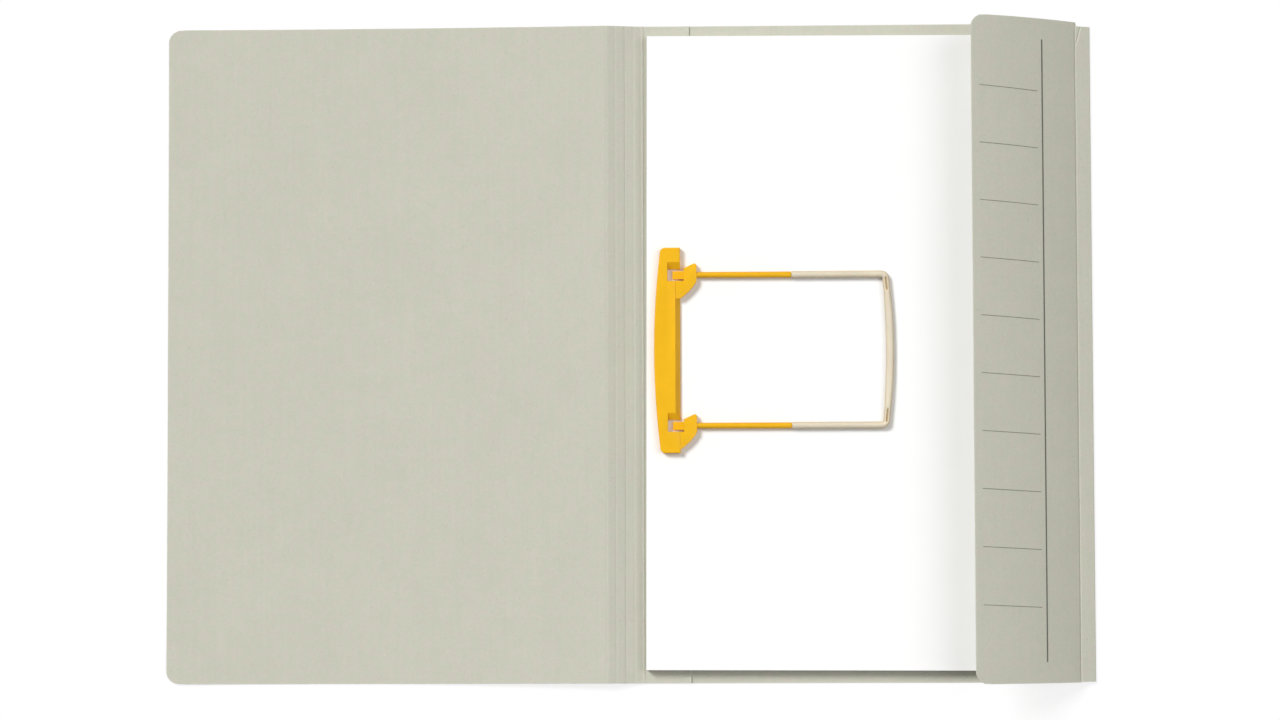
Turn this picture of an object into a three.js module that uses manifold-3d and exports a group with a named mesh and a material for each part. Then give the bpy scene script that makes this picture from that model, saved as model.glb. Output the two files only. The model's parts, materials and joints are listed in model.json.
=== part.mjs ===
// Flap folder lying open on a table. A front board makes the front cover, the creased spine and a glue
// strip; a back board makes the back cover and the folded-up flap. A stack of paper lies on the back cover,
// and a two-piece plastic filing clip lies on the paper, its bar's pins pushed into the bow's tubes.
// Millimetres, +Z up, +X from the front cover towards the flap, +Y towards the top of the sheets.

import * as THREE from 'three';
import { mergeVertices } from 'three/addons/utils/BufferGeometryUtils.js';
import Module from 'manifold-3d';

// Board
const boardThickness = 0.5;
const boardHeight = 350;
const foldGap = 0.3;
const creaseWidth = 1.4;
const creaseDepth = 0.22;

// Front cover, spine and glue strip
const coverWidth = 235;
const coverCornerRadius = 7;
const coverRise = 5.5;
const coverArchLength = 150;
const coverArchSteps = 12;
const spineWidth = 20;
const spinePanels = 4;
const glueStripWidth = 25;

// Back cover and flap
const backWidth = 238;
const gussetWidth = 8.6;
const gussetLean = 21;
const gussetRelief = 1;
const flapWidth = 65.4;
const flapLeanAtFold = 33;
const flapLeanAtEdge = 26.5;
const flapCornerRadius = 7;
const flapSteps = 10;

// Paper
const stackHeight = 338;
const stackThickness = 6.5;
const stackInset = 1.3;
const stackFlapRoom = 20.7;
const stripClearance = 0.4;
const stripRunOut = 3;

// Clip bar with its two pins
const clipInset = 4.7;
const clipShift = 0.9;
const barLength = 109;
const barWidth = 13.9;
const barEndWidth = 10.8;
const barHeight = 4.2;
const barBevel = 0.5;
const barCornerLength = 3.2;
const barSlopeWidth = 2.6;
const barSlopeDepth = 3;
const pinSpacing = 80;
const pinDiameter = 3.2;
const pinLength = 50;
const spigotDiameter = 2.2;
const spigotLength = 46;
const roundSides = 16;

// Ears beside the bar, where the pins start, and the windows through the bar
const earHeight = 3.9;
const earReach = 8.7;
const earShoulder = 2.6;
const earRise = 6.1;
const earHeel = 3.3;
const earDrop = 12.6;
const earTipWidth = 1.3;
const windowLength = 8.6;
const windowWidth = 6.4;
const windowSetBack = 6.7;
const rampLength = 3.6;
const rampDepth = 2.6;
const pegLength = 6;
const pegWidth = 4.2;
const pegHeight = 2.8;
const pegTipHeight = 1.2;

// Clip bow: two tubes joined by a bowed cross bar
const tubeDiameter = 3.7;
const tubeLength = 45.9;
const boreClearance = 0.15;
const boreEndRoom = 1;
const mouthGap = 0.3;
const paperClearance = 0.3;
const bowCornerSize = 3.4;
const bowBulge = 5.6;
const bowSteps = 88;
const bowBladeBulge = 1.6;
const bowBladeHeight = 2.8;
const grooveLength = 7;
const grooveWidth = 1.1;
const grooveDepth = 0.7;

const weldTolerance = 1e-4;
const cutMargin = 1;

const wasm = await Module();
wasm.setup();

// Solids and geometries

function toSolid(geometry) {
  const bare = geometry.clone();
  bare.deleteAttribute('normal');
  bare.deleteAttribute('uv');
  const welded = mergeVertices(bare, weldTolerance);
  const vertProperties = Float32Array.from(welded.attributes.position.array);
  const triVerts = Uint32Array.from(welded.index.array);
  return new wasm.Manifold(new wasm.Mesh({ numProp: 3, vertProperties, triVerts }));
}

function toGeometry(solid) {
  const mesh = solid.getMesh();
  const geometry = new THREE.BufferGeometry();
  geometry.setAttribute('position', new THREE.BufferAttribute(Float32Array.from(mesh.vertProperties), 3));
  geometry.setIndex(Array.from(mesh.triVerts));
  geometry.computeVertexNormals();
  return geometry;
}

// A box given by its lowest and highest corners.
function boxBetween(low, high) {
  const geometry = new THREE.BoxGeometry(high[0] - low[0], high[1] - low[1], high[2] - low[2]);
  geometry.translate((low[0] + high[0]) / 2, (low[1] + high[1]) / 2, (low[2] + high[2]) / 2);
  return geometry;
}

// An outline in X and Z, carried along Y from yLow to yHigh.
function carriedAlongY(outline, yLow, yHigh) {
  const geometry = new THREE.ExtrudeGeometry(new THREE.Shape(outline), {
    depth: yHigh - yLow,
    bevelEnabled: false,
  });
  geometry.rotateX(Math.PI / 2);
  geometry.translate(0, yHigh, 0);
  return geometry;
}

// A plan outline in X and Y, raised from zLow to zHigh.
function raisedPlan(shape, zLow, zHigh, curveSegments = 8) {
  const geometry = new THREE.ExtrudeGeometry(shape, {
    depth: zHigh - zLow,
    bevelEnabled: false,
    curveSegments,
  });
  geometry.translate(0, 0, zLow);
  return geometry;
}

function roundBarAlongX(diameter, xLow, xHigh, y, z) {
  const geometry = new THREE.CylinderGeometry(diameter / 2, diameter / 2, xHigh - xLow, roundSides);
  geometry.rotateZ(-Math.PI / 2);
  geometry.translate((xLow + xHigh) / 2, y, z);
  return geometry;
}

// Folded sheets

// Direction in the X and Z plane: 0 points along +X, 90 straight up.
function direction(degrees) {
  const angle = THREE.MathUtils.degToRad(degrees);
  return new THREE.Vector2(Math.cos(angle), Math.sin(angle));
}

// The section of a folded sheet. The inner face follows the given points and the outer face lies one
// board thickness to their right (side 1) or left (side -1), mitred at each bend.
function sheetSection(inner, side) {
  const outer = inner.map((point, i) => {
    const before = inner[Math.max(i - 1, 0)];
    const after = inner[Math.min(i + 1, inner.length - 1)];
    const into = (i > 0 ? point.clone().sub(before) : after.clone().sub(point)).normalize();
    const out = (i < inner.length - 1 ? after.clone().sub(point) : into.clone()).normalize();
    const along = into.clone().add(out).normalize();
    const reach = boardThickness / along.dot(into);
    return new THREE.Vector2(point.x + along.y * reach * side, point.y - along.x * reach * side);
  });
  return [...inner, ...outer.reverse()];
}

// The three points of a pressed crease at a distance along a straight panel, sunk into its inner face.
function creasePoints(start, along, distance, side) {
  const sink = new THREE.Vector2(along.y, -along.x).multiplyScalar(side * creaseDepth);
  const at = (shift) => start.clone().addScaledVector(along, distance + shift);
  return [at(-creaseWidth / 2), at(0).add(sink), at(creaseWidth / 2)];
}

// A plan rectangle with the two corners at its low-X end rounded.
function sheetPlan(xLow, xHigh, radius) {
  const half = boardHeight / 2;
  const shape = new THREE.Shape();
  shape.moveTo(xHigh, -half);
  shape.lineTo(xHigh, half);
  shape.lineTo(xLow + radius, half);
  shape.absarc(xLow + radius, half - radius, radius, Math.PI / 2, Math.PI, false);
  shape.lineTo(xLow, -half + radius);
  shape.absarc(xLow + radius, -half + radius, radius, Math.PI, Math.PI * 1.5, false);
  return shape;
}

// Fold lines, in X and Z, with X from the crease between spine and back cover

const halfHeight = boardHeight / 2;
const glueStripTop = 2 * boardThickness;
const spineFold = new THREE.Vector2(0, glueStripTop);
const coverFoldHeight = boardThickness + coverRise;
const spineLean = THREE.MathUtils.radToDeg(Math.asin((coverFoldHeight - glueStripTop) / spineWidth));
const spineDirection = direction(180 - spineLean);
const coverFold = spineFold.clone().addScaledVector(spineDirection, spineWidth);
const flapFold = new THREE.Vector2(backWidth, boardThickness);
const coverEdgeX = coverFold.x - coverWidth;

// The model's origin is the middle of its base.
const originX = (coverEdgeX + backWidth) / 2;

// The front cover lies flat and arches up to the spine: its height grows with the square of the way in.
function frontCover() {
  const archStart = coverFold.x - coverArchLength;
  const inner = [];
  for (let i = 0; i <= coverArchSteps; i += 1) {
    const share = 1 - i / coverArchSteps;
    const x = i === 0 ? coverFold.x - foldGap : archStart + share * coverArchLength;
    const way = (x - archStart) / coverArchLength;
    inner.push(new THREE.Vector2(x, boardThickness + coverRise * way * way));
  }
  inner.push(new THREE.Vector2(coverEdgeX, boardThickness));
  const sheet = carriedAlongY(sheetSection(inner, -1), -halfHeight, halfHeight);
  const plan = sheetPlan(coverEdgeX, coverFold.x + cutMargin, coverCornerRadius);
  const keep = raisedPlan(plan, -cutMargin, coverFoldHeight + cutMargin);
  return toGeometry(toSolid(sheet).intersect(toSolid(keep)));
}

// The spine is one straight strip between its two folds, with pressed creases an even panel apart.
function spine() {
  const inner = [spineFold.clone().addScaledVector(spineDirection, foldGap)];
  for (let i = 1; i < spinePanels; i += 1) {
    inner.push(...creasePoints(spineFold, spineDirection, (spineWidth * i) / spinePanels, -1));
  }
  inner.push(spineFold.clone().addScaledVector(spineDirection, spineWidth - foldGap));
  return carriedAlongY(sheetSection(inner, -1), -halfHeight, halfHeight);
}

function glueStrip() {
  return boxBetween([0, -halfHeight, boardThickness], [glueStripWidth, halfHeight, glueStripTop]);
}

function backCover() {
  return boxBetween([0, -halfHeight, 0], [backWidth, halfHeight, boardThickness]);
}

// The gusset rises straight from the back cover's edge; past the second crease the flap leans back over
// the paper, a little less steeply towards its free edge.
function flap() {
  const gussetDirection = direction(180 - gussetLean);
  const inner = [flapFold.clone().addScaledVector(gussetDirection, foldGap)];
  const second = flapFold.clone().addScaledVector(gussetDirection, gussetWidth);
  inner.push(second.clone().addScaledVector(gussetDirection, -creaseWidth / 2));
  const outward = new THREE.Vector2(gussetDirection.y, -gussetDirection.x);
  inner.push(second.clone().addScaledVector(outward, -creaseDepth));
  let tip = second.clone();
  for (let i = 0; i < flapSteps; i += 1) {
    const lean = THREE.MathUtils.lerp(flapLeanAtFold, flapLeanAtEdge, i / (flapSteps - 1));
    const from = i === 0 ? creaseWidth / 2 : 0;
    if (i === 0) inner.push(tip.clone().addScaledVector(direction(180 - lean), from));
    tip = tip.clone().addScaledVector(direction(180 - lean), flapWidth / flapSteps);
    inner.push(tip);
  }
  const sheet = toSolid(carriedAlongY(sheetSection(inner, 1), -halfHeight, halfHeight));
  const top = tip.y + boardThickness + cutMargin;
  const plan = sheetPlan(tip.x, backWidth + boardThickness, flapCornerRadius);
  const keep = toSolid(raisedPlan(plan, -cutMargin, top));
  const reliefs = [-1, 1].map((end) => {
    const inside = end * (halfHeight - gussetRelief);
    const beyond = end * (halfHeight + cutMargin);
    const low = [second.x + creaseWidth / 2, Math.min(inside, beyond), -cutMargin];
    const high = [backWidth + cutMargin, Math.max(inside, beyond), top];
    return toSolid(boxBetween(low, high));
  });
  return toGeometry(sheet.intersect(keep).subtract(reliefs[0]).subtract(reliefs[1]));
}

// Paper

const stackLeft = stackInset;
const stackRight = backWidth - stackFlapRoom;
const stackTop = glueStripTop + stackThickness;

// The sheets lie on the glue strip and, past its edge, run down onto the back cover.
function paperStack() {
  const stripEnd = glueStripWidth + stripClearance;
  const outline = [
    new THREE.Vector2(stackLeft, glueStripTop),
    new THREE.Vector2(stripEnd, glueStripTop),
    new THREE.Vector2(stripEnd + stripRunOut, boardThickness),
    new THREE.Vector2(stackRight, boardThickness),
    new THREE.Vector2(stackRight, stackTop),
    new THREE.Vector2(stackLeft, stackTop),
  ];
  return carriedAlongY(outline, -stackHeight / 2, stackHeight / 2);
}

// Clip

const barLeft = stackLeft + clipInset;
const barRight = barLeft + barWidth;
const pinAxisZ = stackTop + paperClearance + tubeDiameter / 2;
const pinRows = [clipShift + pinSpacing / 2, clipShift - pinSpacing / 2];
const shoulderX = barRight + earReach + pinLength;
const windowLeft = barRight - windowSetBack;
const windowRight = windowLeft + windowLength;

// The bar's straight side faces the pins, its other side bows out, and its two far corners are rounded.
function barPlan() {
  const half = barLength / 2;
  const endLeft = barRight - barEndWidth;
  const bow = 2 * barLeft - endLeft;
  const shape = new THREE.Shape();
  shape.moveTo(barRight, clipShift - half);
  shape.lineTo(barRight, clipShift + half);
  shape.lineTo(endLeft + barCornerLength, clipShift + half);
  shape.quadraticCurveTo(endLeft, clipShift + half, endLeft, clipShift + half - barCornerLength);
  shape.quadraticCurveTo(bow, clipShift, endLeft, clipShift - half + barCornerLength);
  shape.quadraticCurveTo(endLeft, clipShift - half, endLeft + barCornerLength, clipShift - half);
  return shape;
}

function earPlan(pinY) {
  const root = barRight - barSlopeWidth - cutMargin;
  const tip = barRight + earReach;
  const shape = new THREE.Shape();
  shape.moveTo(root, pinY + earShoulder);
  shape.lineTo(barRight, pinY + earShoulder);
  shape.lineTo(tip - earTipWidth, pinY + earRise);
  shape.quadraticCurveTo(tip, pinY + earRise, tip, pinY + earRise - earTipWidth);
  shape.lineTo(tip, pinY - earHeel);
  shape.quadraticCurveTo(tip - earReach / 4, pinY - (earHeel + earDrop) / 2, barRight, pinY - earDrop);
  shape.lineTo(root, pinY - earDrop);
  return shape;
}

// The long straight side slopes down to the paper between the windows.
function barSlope() {
  const top = stackTop + barHeight;
  const outline = [
    new THREE.Vector2(barRight - barSlopeWidth, top + cutMargin),
    new THREE.Vector2(barRight - barSlopeWidth, top),
    new THREE.Vector2(barRight, top - barSlopeDepth),
    new THREE.Vector2(barRight + cutMargin, top - barSlopeDepth),
    new THREE.Vector2(barRight + cutMargin, top + cutMargin),
  ];
  const [high, low] = pinRows;
  return carriedAlongY(outline, low + windowWidth / 2, high - windowWidth / 2);
}

// A ramp cut into the bar's top, deepest where it meets the window's upper side.
function windowRamp(pinY) {
  const top = stackTop + barHeight;
  const windowSide = pinY + windowWidth / 2;
  const outline = [
    new THREE.Vector2(windowSide - cutMargin, top + cutMargin),
    new THREE.Vector2(windowSide - cutMargin, top - rampDepth),
    new THREE.Vector2(windowSide, top - rampDepth),
    new THREE.Vector2(windowSide + rampLength, top),
    new THREE.Vector2(windowSide + rampLength, top + cutMargin),
  ];
  const geometry = new THREE.ExtrudeGeometry(new THREE.Shape(outline), {
    depth: windowSetBack + cutMargin,
    bevelEnabled: false,
  });
  geometry.rotateX(Math.PI / 2);
  geometry.rotateZ(Math.PI / 2);
  geometry.translate(windowLeft, 0, 0);
  return geometry;
}

// The peg at each pin's root, falling away into the window.
function windowPeg(pinY) {
  const wall = windowRight + cutMargin;
  const tip = windowRight - pegLength;
  const outline = [
    new THREE.Vector2(tip, stackTop),
    new THREE.Vector2(wall, stackTop),
    new THREE.Vector2(wall, stackTop + pegHeight),
    new THREE.Vector2(windowRight, stackTop + pegHeight),
    new THREE.Vector2(tip, stackTop + pegTipHeight),
  ];
  return carriedAlongY(outline, pinY - pegWidth / 2, pinY + pegWidth / 2);
}

function clipBar() {
  const bar = new THREE.ExtrudeGeometry(barPlan(), {
    depth: barHeight - 2 * barBevel,
    bevelThickness: barBevel,
    bevelSize: barBevel,
    bevelOffset: -barBevel,
    bevelSegments: 2,
    curveSegments: 12,
  });
  bar.translate(0, 0, stackTop + barBevel);
  let solid = toSolid(bar).subtract(toSolid(barSlope()));
  for (const pinY of pinRows) {
    const ear = toSolid(raisedPlan(earPlan(pinY), stackTop, stackTop + earHeight, 6));
    solid = solid.add(ear);
  }
  for (const pinY of pinRows) {
    const low = [windowLeft, pinY - windowWidth / 2, stackTop - cutMargin];
    const high = [windowRight, pinY + windowWidth / 2, stackTop + barHeight + cutMargin];
    solid = solid.subtract(toSolid(boxBetween(low, high)));
    solid = solid.subtract(toSolid(windowRamp(pinY)));
    solid = solid.add(toSolid(windowPeg(pinY)));
    const pinStart = (windowRight + barRight + earReach) / 2;
    solid = solid.add(toSolid(roundBarAlongX(pinDiameter, pinStart, shoulderX, pinY, pinAxisZ)));
    const spigotEnd = shoulderX + spigotLength;
    solid = solid.add(toSolid(roundBarAlongX(spigotDiameter, pinStart, spigotEnd, pinY, pinAxisZ)));
  }
  return toGeometry(solid);
}

// The bow's centre line: along one tube, round a corner, across the bulged bar, and back along the other.
function bowPath() {
  const mouth = shoulderX + mouthGap;
  const turn = mouth + tubeLength;
  const across = turn + bowCornerSize;
  const [high, low] = pinRows;
  const at = (x, y) => new THREE.Vector3(x, y, pinAxisZ);
  const path = new THREE.CurvePath();
  path.add(new THREE.LineCurve3(at(mouth, high), at(turn, high)));
  path.add(new THREE.QuadraticBezierCurve3(at(turn, high), at(across, high), at(across, high - bowCornerSize)));
  const crown = at(across + bowBulge, clipShift);
  const highEnd = at(across, high - bowCornerSize);
  const lowEnd = at(across, low + bowCornerSize);
  path.add(new THREE.QuadraticBezierCurve3(highEnd, crown, lowEnd));
  path.add(new THREE.QuadraticBezierCurve3(lowEnd, at(across, low), at(turn, low)));
  path.add(new THREE.LineCurve3(at(turn, low), at(mouth, low)));
  return path;
}

// The cross bar widens to a flat blade towards its middle.
function bowBlade() {
  const across = shoulderX + mouthGap + tubeLength + bowCornerSize;
  const [high, low] = pinRows;
  const highEnd = high - bowCornerSize - grooveLength;
  const lowEnd = low + bowCornerSize + grooveLength;
  const shape = new THREE.Shape();
  shape.moveTo(across + bowBladeBulge, highEnd);
  shape.quadraticCurveTo(across + bowBulge - bowBladeBulge - tubeDiameter / 2, clipShift,
    across + bowBladeBulge, lowEnd);
  shape.quadraticCurveTo(across + bowBulge + bowBladeBulge + tubeDiameter / 2, clipShift,
    across + bowBladeBulge, highEnd);
  return raisedPlan(shape, pinAxisZ - bowBladeHeight / 2, pinAxisZ + bowBladeHeight / 2, 12);
}

function clipBow() {
  const section = new THREE.Shape();
  section.absarc(0, 0, tubeDiameter / 2, 0, Math.PI * 2, false);
  const rod = new THREE.ExtrudeGeometry(section, {
    steps: bowSteps,
    extrudePath: bowPath(),
    curveSegments: roundSides / 2,
  });
  let solid = toSolid(rod).add(toSolid(bowBlade()));
  const mouth = shoulderX + mouthGap;
  const boreDiameter = spigotDiameter + 2 * boreClearance;
  const boreEnd = shoulderX + spigotLength + boreEndRoom;
  const grooveX = mouth + tubeLength + bowCornerSize;
  for (const pinY of pinRows) {
    solid = solid.subtract(toSolid(roundBarAlongX(boreDiameter, mouth - cutMargin, boreEnd, pinY, pinAxisZ)));
    const inward = Math.sign(clipShift - pinY);
    const near = pinY + inward * bowCornerSize;
    const far = near + inward * grooveLength;
    const low = [grooveX - grooveWidth / 2, Math.min(near, far), pinAxisZ + tubeDiameter / 2 - grooveDepth];
    const high = [grooveX + grooveWidth / 2, Math.max(near, far), pinAxisZ + tubeDiameter];
    solid = solid.subtract(toSolid(boxBetween(low, high)));
  }
  return toGeometry(solid);
}

// Colours

const boardLook = { color: 0xcdccbf, roughness: 0.9, metalness: 0 };
const paperLook = { color: 0xf7f7f5, roughness: 0.85, metalness: 0 };
const yellowLook = { color: 0xf6bf1b, roughness: 0.35, metalness: 0 };
const creamLook = { color: 0xe1cfb3, roughness: 0.4, metalness: 0 };

const folder = new THREE.Group();

function place(name, geometry, look) {
  const mesh = new THREE.Mesh(geometry, new THREE.MeshStandardMaterial(look));
  mesh.name = name;
  mesh.position.x = -originX;
  folder.add(mesh);
}

place('front_cover', frontCover(), boardLook);
place('spine', spine(), boardLook);
place('glue_strip', glueStrip(), boardLook);
place('back_cover', backCover(), boardLook);
place('flap', flap(), boardLook);
place('paper_stack', paperStack(), paperLook);
place('clip_bar', clipBar(), yellowLook);
place('clip_bow', clipBow(), creamLook);

export default folder;
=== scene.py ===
import json
import math

import bmesh
import bpy
import numpy as np
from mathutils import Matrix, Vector


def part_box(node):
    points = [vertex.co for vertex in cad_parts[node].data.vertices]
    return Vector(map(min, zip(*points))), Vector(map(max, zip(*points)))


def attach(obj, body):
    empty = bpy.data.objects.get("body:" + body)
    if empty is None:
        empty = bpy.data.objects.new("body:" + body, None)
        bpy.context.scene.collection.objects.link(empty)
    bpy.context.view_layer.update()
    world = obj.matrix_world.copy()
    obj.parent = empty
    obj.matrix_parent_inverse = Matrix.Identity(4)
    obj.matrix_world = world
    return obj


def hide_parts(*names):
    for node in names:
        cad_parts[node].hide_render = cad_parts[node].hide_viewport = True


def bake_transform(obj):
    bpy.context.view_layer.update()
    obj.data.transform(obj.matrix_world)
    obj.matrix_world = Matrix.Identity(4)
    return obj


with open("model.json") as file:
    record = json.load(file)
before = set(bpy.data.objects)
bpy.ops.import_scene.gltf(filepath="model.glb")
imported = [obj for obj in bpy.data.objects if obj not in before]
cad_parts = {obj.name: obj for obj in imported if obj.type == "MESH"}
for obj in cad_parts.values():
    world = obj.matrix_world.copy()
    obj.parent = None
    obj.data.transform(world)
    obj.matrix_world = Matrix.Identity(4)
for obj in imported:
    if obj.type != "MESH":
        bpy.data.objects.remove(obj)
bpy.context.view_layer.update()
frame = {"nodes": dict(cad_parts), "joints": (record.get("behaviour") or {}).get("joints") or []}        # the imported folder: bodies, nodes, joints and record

mm = 0.001


def corners(node):
    return [np.array(corner, float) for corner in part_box(node)]


def jointPlace(name):
    return np.array(next(j["pos_m"] for j in frame["joints"] if j["name"] == name), float)


# Where the frame puts each piece

backLow, backHigh = corners("back_cover")
coverLow = corners("front_cover")[0]
stripLow, stripHigh = corners("glue_strip")
stackLow, stackHigh = corners("paper_stack")
bowLow, bowHigh = corners("clip_bow")
spineFold, coverFold, flapFold = (jointPlace(name) for name in ("spine_fold", "cover_fold", "flap_fold"))
boardThickness = backHigh[2] - backLow[2]
halfBoard = backHigh[1]
print("frame loaded: board", round(boardThickness / mm, 2), "mm thick")


# Shader helpers

def addNode(tree, kind, values=None, **settings):
    node = tree.nodes.new(kind)
    for name, value in settings.items():
        setattr(node, name, value)
    for name, value in (values or {}).items():
        node.inputs[name].default_value = value
    return node


# One Principled surface whose plain numbers stand on its own sockets
def newMaterial(name, values):
    material = bpy.data.materials.new(name)
    material.use_nodes = True
    tree = material.node_tree
    tree.nodes.clear()
    shader = addNode(tree, "ShaderNodeBsdfPrincipled", values)
    output = addNode(tree, "ShaderNodeOutputMaterial")
    tree.links.new(shader.outputs[0], output.inputs[0])
    return material, tree, shader


def newGroup(name, inputs, outputs):
    group = bpy.data.node_groups.new(name, "ShaderNodeTree")
    for label, kind, value in inputs:
        socket = group.interface.new_socket(name=label, in_out="INPUT", socket_type="NodeSocket" + kind)
        if value is not None:
            socket.default_value = value
    for label, kind in outputs:
        group.interface.new_socket(name=label, in_out="OUTPUT", socket_type="NodeSocket" + kind)
    entry = group.nodes.new("NodeGroupInput")
    leave = group.nodes.new("NodeGroupOutput")
    return group, entry.outputs, leave.inputs


def useGroup(tree, group, values):
    node = addNode(tree, "ShaderNodeGroup", node_tree=group)
    for name, value in values.items():
        node.inputs[name].default_value = value
    return node


# a and b are sockets or numbers.
def math2(tree, operation, a, b, clamp=False):
    node = addNode(tree, "ShaderNodeMath", operation=operation, use_clamp=clamp)
    for socket, value in zip(node.inputs, (a, b)):
        if isinstance(value, (int, float)):
            socket.default_value = value
        else:
            tree.links.new(value, socket)
    return node.outputs[0]


def mixColour(tree, factor, a, b, blend="MIX"):
    node = addNode(tree, "ShaderNodeMix", data_type="RGBA", blend_type=blend)
    for socket, value in ((node.inputs[0], factor), (node.inputs[6], a), (node.inputs[7], b)):
        if isinstance(value, (int, float, tuple)):
            socket.default_value = value
        else:
            tree.links.new(value, socket)
    return node.outputs[2]


def mapRange(tree, value, low, high, toLow, toHigh):
    node = addNode(tree, "ShaderNodeMapRange", {"From Min": low, "From Max": high,
                                                "To Min": toLow, "To Max": toHigh})
    tree.links.new(value, node.inputs["Value"])
    return node.outputs["Result"]


# Paper fibre, on board and sheets alike: cloudy tone, fine grain and scattered flecks

def buildFibreGroup():
    group, given, result = newGroup(
        "paperFibre",
        [("Position", "Vector", None), ("Cloud Scale", "Float", 24.0), ("Cloud Amount", "Float", 0.02),
         ("Grain Scale", "Float", 1400.0), ("Grain Amount", "Float", 0.05),
         ("Fleck Scale", "Float", 380.0), ("Fleck Size", "Float", 0.1), ("Fleck Share", "Float", 0.2)],
        [("Tone", "Float"), ("Fleck Mask", "Float"), ("Height", "Float")])
    link = group.links.new

    def noise(scale, detail):
        node = addNode(group, "ShaderNodeTexNoise", {"Detail": detail, "Roughness": 0.6})
        link(given["Position"], node.inputs["Vector"])
        link(given[scale], node.inputs["Scale"])
        return node.outputs[0]

    drift = math2(group, "SUBTRACT", noise("Cloud Scale", 3.0), 0.5)
    cloud = math2(group, "MULTIPLY", drift, given["Cloud Amount"])
    grain = noise("Grain Scale", 3.0)
    grainTone = math2(group, "MULTIPLY", math2(group, "SUBTRACT", grain, 0.5), given["Grain Amount"])
    tone = math2(group, "ADD", math2(group, "ADD", cloud, grainTone), 1.0)
    link(tone, result["Tone"])
    # A fleck is a small disc in the middle of a cell, and only some cells have one.
    cell = addNode(group, "ShaderNodeTexVoronoi", {"Randomness": 1.0})
    link(given["Position"], cell.inputs["Vector"])
    link(given["Fleck Scale"], cell.inputs["Scale"])
    inside = math2(group, "LESS_THAN", cell.outputs["Distance"], given["Fleck Size"])
    pick = addNode(group, "ShaderNodeSeparateColor")
    link(cell.outputs["Color"], pick.inputs[0])
    chosen = math2(group, "LESS_THAN", pick.outputs[0], given["Fleck Share"])
    link(math2(group, "MULTIPLY", inside, chosen), result["Fleck Mask"])
    link(grain, result["Height"])
    return group


def bumpFrom(tree, height, distance, strength):
    node = addNode(tree, "ShaderNodeBump", {"Strength": strength, "Distance": distance})
    tree.links.new(height, node.inputs["Height"])
    return node.outputs[0]


boardLook = {
    "colour": (0.542, 0.538, 0.453, 1),
    "pinkTint": (0.570, 0.533, 0.462, 1),
    "greenTint": (0.520, 0.547, 0.440, 1),
    "darkFleck": (0.36, 0.33, 0.26, 1),
    "paleFleck": (0.74, 0.73, 0.66, 1),
    "cutEdge": (0.63, 0.62, 0.54, 1),
    "roughness": 0.86,
    "specular": 0.22,
    "bump": 0.045 * mm,
    "streakScale": (420.0, 14.0, 420.0),
    "streakAmount": 0.009,
}


def boardMaterial(fibre):
    look = boardLook
    material, tree, shader = newMaterial("speckledBoard", {
        "Roughness": look["roughness"], "Specular IOR Level": look["specular"]})
    place = addNode(tree, "ShaderNodeTexCoord").outputs["Object"]
    fine = useGroup(tree, fibre, {"Cloud Scale": 20.0, "Cloud Amount": 0.07, "Grain Scale": 1300.0,
                                  "Grain Amount": 0.17, "Fleck Scale": 430.0, "Fleck Size": 0.13,
                                  "Fleck Share": 0.16})
    pale = useGroup(tree, fibre, {"Cloud Scale": 90.0, "Cloud Amount": 0.05, "Grain Scale": 520.0,
                                  "Grain Amount": 0.09, "Fleck Scale": 300.0, "Fleck Size": 0.12,
                                  "Fleck Share": 0.22})
    for group in (fine, pale):
        tree.links.new(place, group.inputs["Position"])
    mottle = addNode(tree, "ShaderNodeTexNoise", {"Scale": 210.0, "Detail": 2.0, "Roughness": 0.55})
    tree.links.new(place, mottle.inputs["Vector"])
    tint = mapRange(tree, mottle.outputs[0], 0.38, 0.62, 0.0, 1.0)
    colour = mixColour(tree, tint, look["pinkTint"], look["greenTint"])
    colour = mixColour(tree, 0.55, colour, look["colour"])
    tone = math2(tree, "MULTIPLY", fine.outputs["Tone"], pale.outputs["Tone"])
    # The board's fibres run lengthwise and leave faint streaks.
    stretch = addNode(tree, "ShaderNodeMapping", {"Scale": look["streakScale"]})
    tree.links.new(place, stretch.inputs["Vector"])
    streak = addNode(tree, "ShaderNodeTexNoise", {"Scale": 1.0, "Detail": 2.0})
    tree.links.new(stretch.outputs[0], streak.inputs["Vector"])
    spread = look["streakAmount"]
    streakTone = mapRange(tree, streak.outputs[0], 0.3, 0.7, 1 - spread, 1 + spread)
    tone = math2(tree, "MULTIPLY", tone, streakTone)
    grey = addNode(tree, "ShaderNodeCombineColor")
    for socket in grey.inputs[:3]:
        tree.links.new(tone, socket)
    colour = mixColour(tree, 1.0, colour, grey.outputs[0], "MULTIPLY")
    for flecks, share, shade in ((fine, 0.45, "darkFleck"), (pale, 0.25, "paleFleck")):
        amount = math2(tree, "MULTIPLY", flecks.outputs["Fleck Mask"], share)
        colour = mixColour(tree, amount, colour, look[shade])
    # The cut edge and the pressed creases show paler fibre.
    rim = addNode(tree, "ShaderNodeAttribute", attribute_name="cutEdge").outputs["Fac"]
    crease = addNode(tree, "ShaderNodeAttribute", attribute_name="crease").outputs["Fac"]
    worn = math2(tree, "MULTIPLY", crease, mapRange(tree, mottle.outputs[0], 0.4, 0.7, 0.05, 0.4))
    bare = math2(tree, "MAXIMUM", math2(tree, "MULTIPLY", rim, 0.7), worn)
    colour = mixColour(tree, bare, colour, look["cutEdge"])
    tree.links.new(colour, shader.inputs["Base Color"])
    rough = math2(tree, "ADD", mapRange(tree, mottle.outputs[0], 0.3, 0.7, -0.04, 0.04), look["roughness"])
    tree.links.new(rough, shader.inputs["Roughness"])
    paleHeight = math2(tree, "MULTIPLY", pale.outputs["Height"], 0.8)
    height = math2(tree, "ADD", fine.outputs["Height"], paleHeight)
    tree.links.new(bumpFrom(tree, height, look["bump"], 0.6), shader.inputs["Normal"])
    return material


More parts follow.
